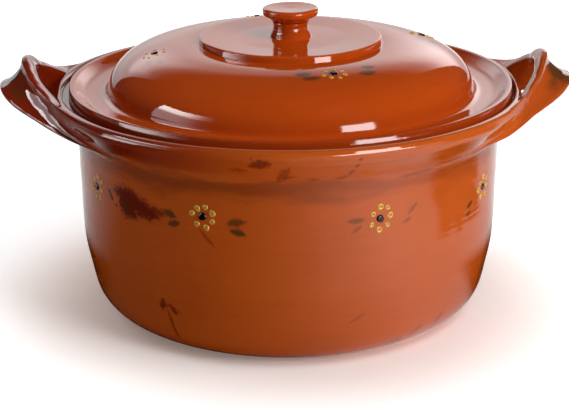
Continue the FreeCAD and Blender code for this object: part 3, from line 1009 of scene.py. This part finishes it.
class POT_OT_flowers(bpy.types.Operator):
    """Lay the raised slip dots of the flowers on the pot and on the lid"""
    bl_idname = "stewing_pot.flowers"
    bl_label = "Slip dots"

    def execute(self, context):
        colours = context.scene.pot_colours
        sizes = context.scene.slip_sizes
        yellow = [slip_glaze("yellow_slip", colours.petal, 0.5),
                  slip_glaze("thin_yellow_slip", colours.petal_thin, 0.5)]
        black = [slip_glaze("black_slip", colours.centre, 0.3)]
        for piece, part, flowers, on_lid in (("thrown_pot", "pot", BODY_FLOWERS, False),
                                             ("domed_lid", "lid", LID_FLOWERS, True)):
            carrier = bpy.data.objects.get(piece)
            if carrier is None:
                raise RuntimeError("make the pot and the lid before their slip dots")
            petals, centres = self.spots(surface_tree(carrier), flowers, on_lid)
            for made in (laid_dots(part + "_petals", petals, PETAL_R, sizes.petal_rise / MM, yellow, 1.0),
                         laid_dots(part + "_flower_centres", centres, CENTRE_R, sizes.centre_rise / MM, black, 0.0)):
                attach(made, BODY)
        return {"FINISHED"}

    def spots(self, tree, flowers, on_lid):
        """Where the yellow and the black dots of the flowers lie: point, normal and size of each."""
        petals, centres = [], []
        for index, (degrees, second) in enumerate(flowers):
            turn = from_camera(degrees)
            out = Vector((math.cos(turn), math.sin(turn), 0))
            right = Vector((-math.sin(turn), math.cos(turn), 0))
            if on_lid:
                middle, drop, up = out * second * MM + Vector((0, 0, 0.3)), Vector((0, 0, -1)), out
            else:
                middle, drop, up = out * 0.25 + Vector((0, 0, second * MM)), -out, Vector((0, 0, 1))
            dots = [(0.0, 0.0)]
            for angle, distance in (PETALS_A if index % 2 else PETALS_B):
                a = math.radians(angle + 17 * (index // 2))         # the hand turns from flower to flower
                dots.append((distance * math.cos(a), distance * math.sin(a)))
            for count, (x, y) in enumerate(dots):
                hit, normal, _, _ = tree.ray_cast(middle + right * x * MM + up * y * MM, drop)
                if hit is None:
                    raise RuntimeError("a slip dot misses its piece")
                size = 1 + 0.12 * math.sin(count * 2.9 + index * 1.3)
                if on_lid and count:
                    size *= 0.55 if index == 0 else 0.8             # the lid's left flower is nearly worn away
                (centres if count == 0 else petals).append((hit / MM, normal, size))
        return petals, centres


def glowing_sheet(name, first, last, low, high, distance, glow, columns=24, rows=16):
    """Curved sheet round the pot that shines by glow(share across, share up) and isn't seen by the camera."""
    points, faces = [], []
    for j in range(rows + 1):
        for i in range(columns + 1):
            turn = from_camera(first + (last - first) * i / columns)
            points.append(polar(distance / MM, turn, (low + (high - low) * j / rows) / MM))
    for j in range(rows):
        for i in range(columns):
            k = j * (columns + 1) + i
            faces.append((k, k + columns + 1, k + columns + 2, k + 1))
    material = bpy.data.materials.new(name)
    b = cleared(material)
    read = b.node("ShaderNodeAttribute", attribute_name="glow")
    shine = b.node("ShaderNodeEmission")
    facing = b.node("ShaderNodeNewGeometry")
    b.join(b.times(read.outputs["Fac"], b.math("SUBTRACT", 1.0, facing.outputs["Backfacing"])),
           shine.inputs["Strength"])
    out = b.node("ShaderNodeOutputMaterial")
    b.join(shine.outputs[0], out.inputs["Surface"])
    made = mesh_object(name, points, faces, [material])
    strength = made.data.attributes.new("glow", "FLOAT", "POINT")
    values = [glow(i / columns, j / rows) for j in range(rows + 1) for i in range(columns + 1)]
    strength.data.foreach_set("value", values)
    made.visible_camera = False
    return made


def eased(value, low, high):
    """0 up to low and 1 from high on, with a soft rise between."""
    share = min(max((value - low) / (high - low), 0), 1)
    return share * share * (3 - 2 * share)


def between(value, start, full, fall, end):
    """Rises softly from start to full and falls from fall to end."""
    return eased(value, start, full) * (1 - eased(value, fall, end))


def backdrop_glow(across, up):
    """Level of the backdrop; across runs from its right end to its left end."""
    height = BACKDROP_TOP * up
    level = 0.75 + 0.35 * eased(height, 0.15, 0.6) - 0.5 * eased(height, 1.1, 1.7) - 0.55 * eased(height, 1.8, 2.5)
    right = (1 - eased(across, 0.15, 0.4)) * between(height, 0.4, 0.9, 1.4, 1.9)
    left = between(across, 0.5, 0.7, 0.85, 1) * between(height, 0.9, 1.25, 1.6, 2)
    return level * (1 + 1.6 * right) + 1.3 * left


def left_box_glow(across, up):
    """Level of the left box; across runs from its far end to its front end."""
    front = 1 - 0.95 * eased(across, 0.4, 0.95)
    bands = 8 - 5.4 * eased(up, 0.04, 0.14) + 11 * eased(up, 0.62, 0.74)
    return front * bands


def right_box_glow(across, up):
    """Level of the right box, whose lower part reaches further to both sides."""
    wide = 1 - eased(up, 0.22, 0.34)
    return 13.5 * between(across, 0.27 - 0.27 * wide, 0.30 - 0.2 * wide, 0.76 + 0.18 * wide, 0.8 + 0.2 * wide)


def lamp(name, degrees, rise, distance, size, level):
    """Soft round lamp that shades the clay but isn't mirrored in the glaze."""
    data = bpy.data.lights.new(name, "AREA")
    data.shape = "DISK"
    data.size = size
    data.energy = level * math.pi ** 2 * distance ** 2
    made = bpy.data.objects.new(name, data)
    turn, lift = from_camera(degrees), math.radians(rise)
    out = Vector((math.cos(turn) * math.cos(lift), math.sin(turn) * math.cos(lift), math.sin(lift)))
    made.location = Vector((0, 0, 0.1)) + out * distance
    made.rotation_euler = out.to_track_quat("Z", "Y").to_euler()
    made.visible_camera = False
    made.visible_glossy = False
    bpy.context.scene.collection.objects.link(made)


class POT_OT_stage(bpy.types.Operator):
    """Set the pale floor, the soft studio light and the camera"""
    bl_idname = "stewing_pot.stage"
    bl_label = "Stage"

    def execute(self, context):
        scene = context.scene
        self.floor(scene.pot_colours.floor)
        glowing_sheet(*BACKDROP, backdrop_glow)
        for sheet in (glowing_sheet(*LEFT_BOX, left_box_glow), glowing_sheet(*RIGHT_BOX, right_box_glow, 60, 30)):
            sheet.visible_diffuse = False
        for values in LAMPS:
            lamp(*values)
        self.surroundings(scene)
        self.camera(scene)
        scene.view_settings.view_transform = "Standard"
        return {"FINISHED"}

    def floor(self, colour):
        """Pale floor that the camera sees lit, with a painted shadow round the pot, and that the glaze mirrors by
        its own levels.
        """
        material = bpy.data.materials.new("pale_floor")
        b = cleared(material)
        place = place_in_mm(b)
        radius = b.vector("LENGTH", place)
        matt = b.node("ShaderNodeBsdfDiffuse")
        b.join((*colour, 1), matt.inputs["Color"])
        glow = b.node("ShaderNodeEmission")
        seen = b.node("ShaderNodeLightPath")
        # painted shadow: the camera's glow fades towards the pot, and its warm tint near the pot is painted bounce
        # light from the clay
        level = b.plus(b.span(radius, 112, 235, 0.2, 0.76), b.span(radius, 240, 800, 0.0, 0.3))
        in_glaze = self.floor_in_the_glaze(b, place, radius)
        bounced = b.times(in_glaze, FLOOR_BOUNCE, seen.outputs["Is Diffuse Ray"])
        b.join(b.plus(b.times(level, seen.outputs["Is Camera Ray"]), bounced), glow.inputs["Strength"])
        b.join(b.blend(b.span(radius, 110, 230), (1, 0.78, 0.68), (1, 1, 1)), glow.inputs["Color"])
        both = b.node("ShaderNodeAddShader")
        b.join(matt.outputs[0], both.inputs[0])
        b.join(glow.outputs[0], both.inputs[1])
        mirrored = b.node("ShaderNodeEmission")
        b.join(in_glaze, mirrored.inputs["Strength"])
        choice = b.node("ShaderNodeMixShader")
        b.join(seen.outputs["Is Glossy Ray"], choice.inputs[0])
        b.join(both.outputs[0], choice.inputs[1])
        b.join(mirrored.outputs[0], choice.inputs[2])
        out = b.node("ShaderNodeOutputMaterial")
        b.join(choice.outputs[0], out.inputs["Surface"])
        corners = [(x * FLOOR_HALF, y * FLOOR_HALF, 0) for x, y in ((-1, -1), (1, -1), (1, 1), (-1, 1))]
        made = mesh_object("floor", corners, [(0, 1, 2, 3)], [material], smooth=False)
        made.location.z = -FLOOR_DROP * MM

    def floor_in_the_glaze(self, b, place, radius):
        """How bright the floor is where the glaze mirrors it: dark to the left, bright to the right and behind."""
        turned = b.node("ShaderNodeVectorRotate", rotation_type="Z_AXIS")
        b.join(place, turned.inputs["Vector"])
        turned.inputs["Angle"].default_value = -TURN
        at = b.split(turned.outputs[0])
        ahead = b.times(at["Y"], -1.0)
        around = b.math("DIVIDE", b.math("ARCTAN2", at["X"], ahead), 2 * math.pi)
        ramp = b.node("ShaderNodeValToRGB")
        stops = [(degrees / 360 + 0.5, level / FLOOR_LEVELS_TOP) for degrees, level in FLOOR_LEVELS]
        while len(ramp.color_ramp.elements) < len(stops):
            ramp.color_ramp.elements.new(0.5)
        for element, (spot, level) in zip(ramp.color_ramp.elements, stops):
            element.position = spot
            element.color = (level, level, level, 1)
        b.join(b.plus(around, 0.5), ramp.inputs["Fac"])
        level = b.times(ramp.outputs["Color"], b.span(radius, 60, 330, 0.9, 1.9))

        def towards(degrees):
            """How nearly a place lies in this direction from the pot, 1 where it does."""
            turn = from_camera(degrees)
            return b.vector("DOT_PRODUCT", b.vector("NORMALIZE", place), (math.cos(turn), math.sin(turn), 0))

        middle, half, reach = DARK_FLOOR
        half = math.cos(math.radians(half))
        edge = b.wander(place, 0.02, 3.0, 0.5)
        outer = b.span(b.plus(b.math("DIVIDE", radius, reach), b.times(edge, 0.5)), 0.97, 1.03)
        dark = b.times(b.span(b.plus(towards(middle), b.times(edge, 0.25)), half - 0.03, half + 0.03), outer)
        # painted shadow in the reflection: close to the pot the mirrored floor is dark at its sides and behind it
        close = b.times(b.span(b.math("DIVIDE", ahead, radius), 0.3, 0.05), b.span(radius, 240, 185))
        level = b.times(level, b.span(dark, 0, 1, 1.0, 0.06), b.math("SUBTRACT", 1.0, close))
        middle, half, reach, strength = LIT_FLOOR
        half = math.cos(math.radians(half))
        lit = b.times(b.span(towards(middle), half, half + 0.02), b.span(radius, reach, reach + 200))
        return b.plus(level, b.times(lit, strength))

    def surroundings(self, scene):
        """White behind everything for the camera, dim for the glaze."""
        world = bpy.data.worlds.new("studio")
        b = cleared(world)
        seen = b.node("ShaderNodeLightPath")
        back = b.node("ShaderNodeBackground")
        level = b.plus(b.times(seen.outputs["Is Camera Ray"], 1 - SURROUNDINGS), SURROUNDINGS)
        b.join(level, back.inputs["Strength"])
        out = b.node("ShaderNodeOutputWorld")
        b.join(back.outputs[0], out.inputs["Surface"])
        scene.world = world

    def camera(self, scene):
        """Camera a little above the rim, looking at the middle of the pot."""
        rise, lean = math.radians(CAMERA_RISE), math.radians(CAMERA_LEAN)
        right = Vector((1, 0, 0))
        ahead = Vector((0, math.cos(rise), -math.sin(rise)))
        up = right.cross(ahead)
        sideways = right * math.cos(lean) + up * math.sin(lean)
        upright = up * math.cos(lean) - right * math.sin(lean)
        about = Matrix.Rotation(TURN, 3, "Z")
        axes = [about @ v for v in (sideways, upright, -ahead)]
        data = bpy.data.cameras.new("camera")
        data.sensor_width = SENSOR
        data.lens = LENS
        data.clip_end = 50
        made = bpy.data.objects.new("camera", data)
        matrix = Matrix(axes).transposed().to_4x4()
        matrix.translation = about @ (Vector(CAMERA_AIM) - ahead * CAMERA_DISTANCE)
        made.matrix_world = matrix
        scene.collection.objects.link(made)
        scene.camera = made


class POT_PT_sidebar(bpy.types.Panel):
    """Lists the pieces of the stewing pot"""
    bl_idname = "POT_PT_sidebar"
    bl_label = "Stewing pot"
    bl_space_type = "VIEW_3D"
    bl_region_type = "UI"
    bl_category = "Stewing pot"

    def draw(self, context):
        for group, operators in GROUPS:
            box = self.layout.box()
            settings = getattr(context.scene, group)
            for name in settings.bl_rna.properties.keys():
                if name not in ("rna_type", "name"):
                    box.prop(settings, name)
            for operator in operators:
                box.operator(operator)


SETTINGS = {"pot_sizes": PotSizes, "lid_sizes": LidSizes, "slip_sizes": SlipSizes, "pot_colours": PotColours}
GROUPS = [("pot_sizes", ["stewing_pot.body"]), ("lid_sizes", ["stewing_pot.lid"]),
          ("slip_sizes", ["stewing_pot.flowers"]), ("pot_colours", ["stewing_pot.stage"])]
OPERATORS = [POT_OT_body, POT_OT_lid, POT_OT_flowers, POT_OT_stage]


def register():
    for group in SETTINGS.values():
        bpy.utils.register_class(group)
    for kind in OPERATORS + [POT_PT_sidebar]:
        bpy.utils.register_class(kind)
    for name, group in SETTINGS.items():
        setattr(bpy.types.Scene, name, bpy.props.PointerProperty(type=group))


def unregister():
    for name in SETTINGS:
        delattr(bpy.types.Scene, name)
    for kind in reversed(list(SETTINGS.values()) + OPERATORS + [POT_PT_sidebar]):
        bpy.utils.unregister_class(kind)


def main():
    register()
    bpy.ops.stewing_pot.body()
    bpy.ops.stewing_pot.lid()
    bpy.ops.stewing_pot.flowers()
    bpy.ops.stewing_pot.stage()


if __name__ == "__main__":
    main()
